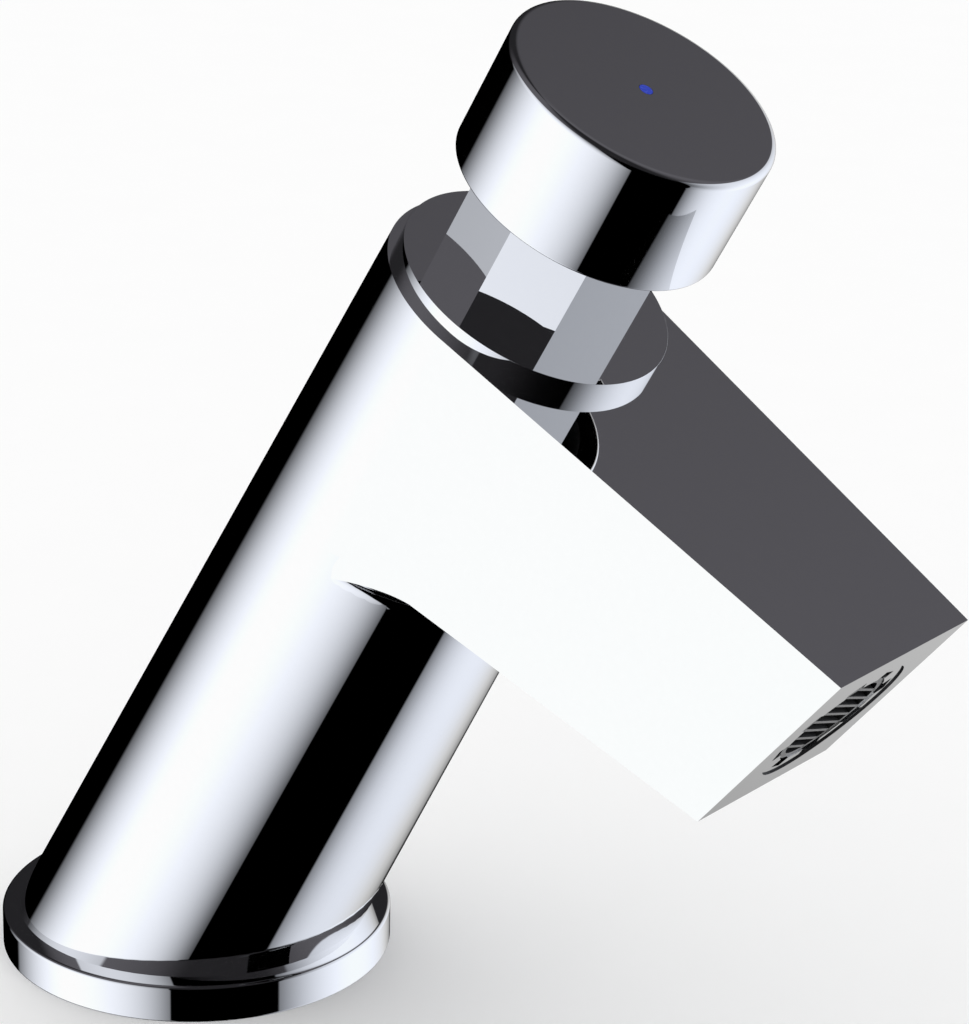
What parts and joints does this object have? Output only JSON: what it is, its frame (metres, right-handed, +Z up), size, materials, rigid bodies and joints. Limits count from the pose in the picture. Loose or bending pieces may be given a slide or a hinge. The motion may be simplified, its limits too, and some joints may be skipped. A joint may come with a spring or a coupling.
{
  "type": "push timed tap",
  "caption": "Single-inlet deck tap with a leaning conical body, a tapered spout and a sprung push button that opens a self-closing timed valve.",
  "frame": {"origin": "Centre of the base flange's underside, where it meets the deck.", "axes": "+Z up from the deck, +X forward to the spout, +Y to the left of someone looking along +X."},
  "size_m": [0.143, 0.056, 0.1999],
  "materials": {
    "chrome": "polished chrome plate",
    "brass": "machined brass",
    "stainless": "stainless steel",
    "rubber": "black sealing rubber",
    "acetal": "moulded white acetal",
    "grey_plastic": "moulded dark grey plastic",
    "blue": "blue inlay"
  },
  "bodies": {
    "tap": {"body_casting": "chrome", "base_flange": "chrome", "deck_gasket": "rubber", "inlet_shank": "brass", "shank_o_ring": "rubber", "inlet_filter": "stainless", "clamp_washer": "rubber", "backing_washer": "stainless", "backnut": "brass", "collar": "chrome", "bonnet": "chrome", "bonnet_o_ring": "rubber", "cartridge_sleeve": "acetal", "sleeve_o_rings": "rubber", "valve_seat": "brass", "guide_bush": "acetal", "stem_seal": "rubber", "return_spring": "stainless", "aerator_housing": "chrome", "aerator_grid": "grey_plastic", "aerator_screen": "stainless", "aerator_washer": "rubber"},
    "push_button": {"button_cap": "chrome", "index_dot": "blue", "stem": "stainless", "piston": "acetal", "cup_seal": "rubber", "piston_clip": "stainless", "valve_disc": "rubber", "valve_backplate": "brass", "valve_nut": "brass"}
  },
  "joints": [
    {"name": "button_press", "type": "slide", "parent": "tap", "child": "push_button", "axis": [-0.4909, 0, -0.8712], "range_m": [0, 0.0075], "stiffness_N_per_m": 1200, "springref_m": -0.01, "deforming": ["return_spring"]}
  ]
}
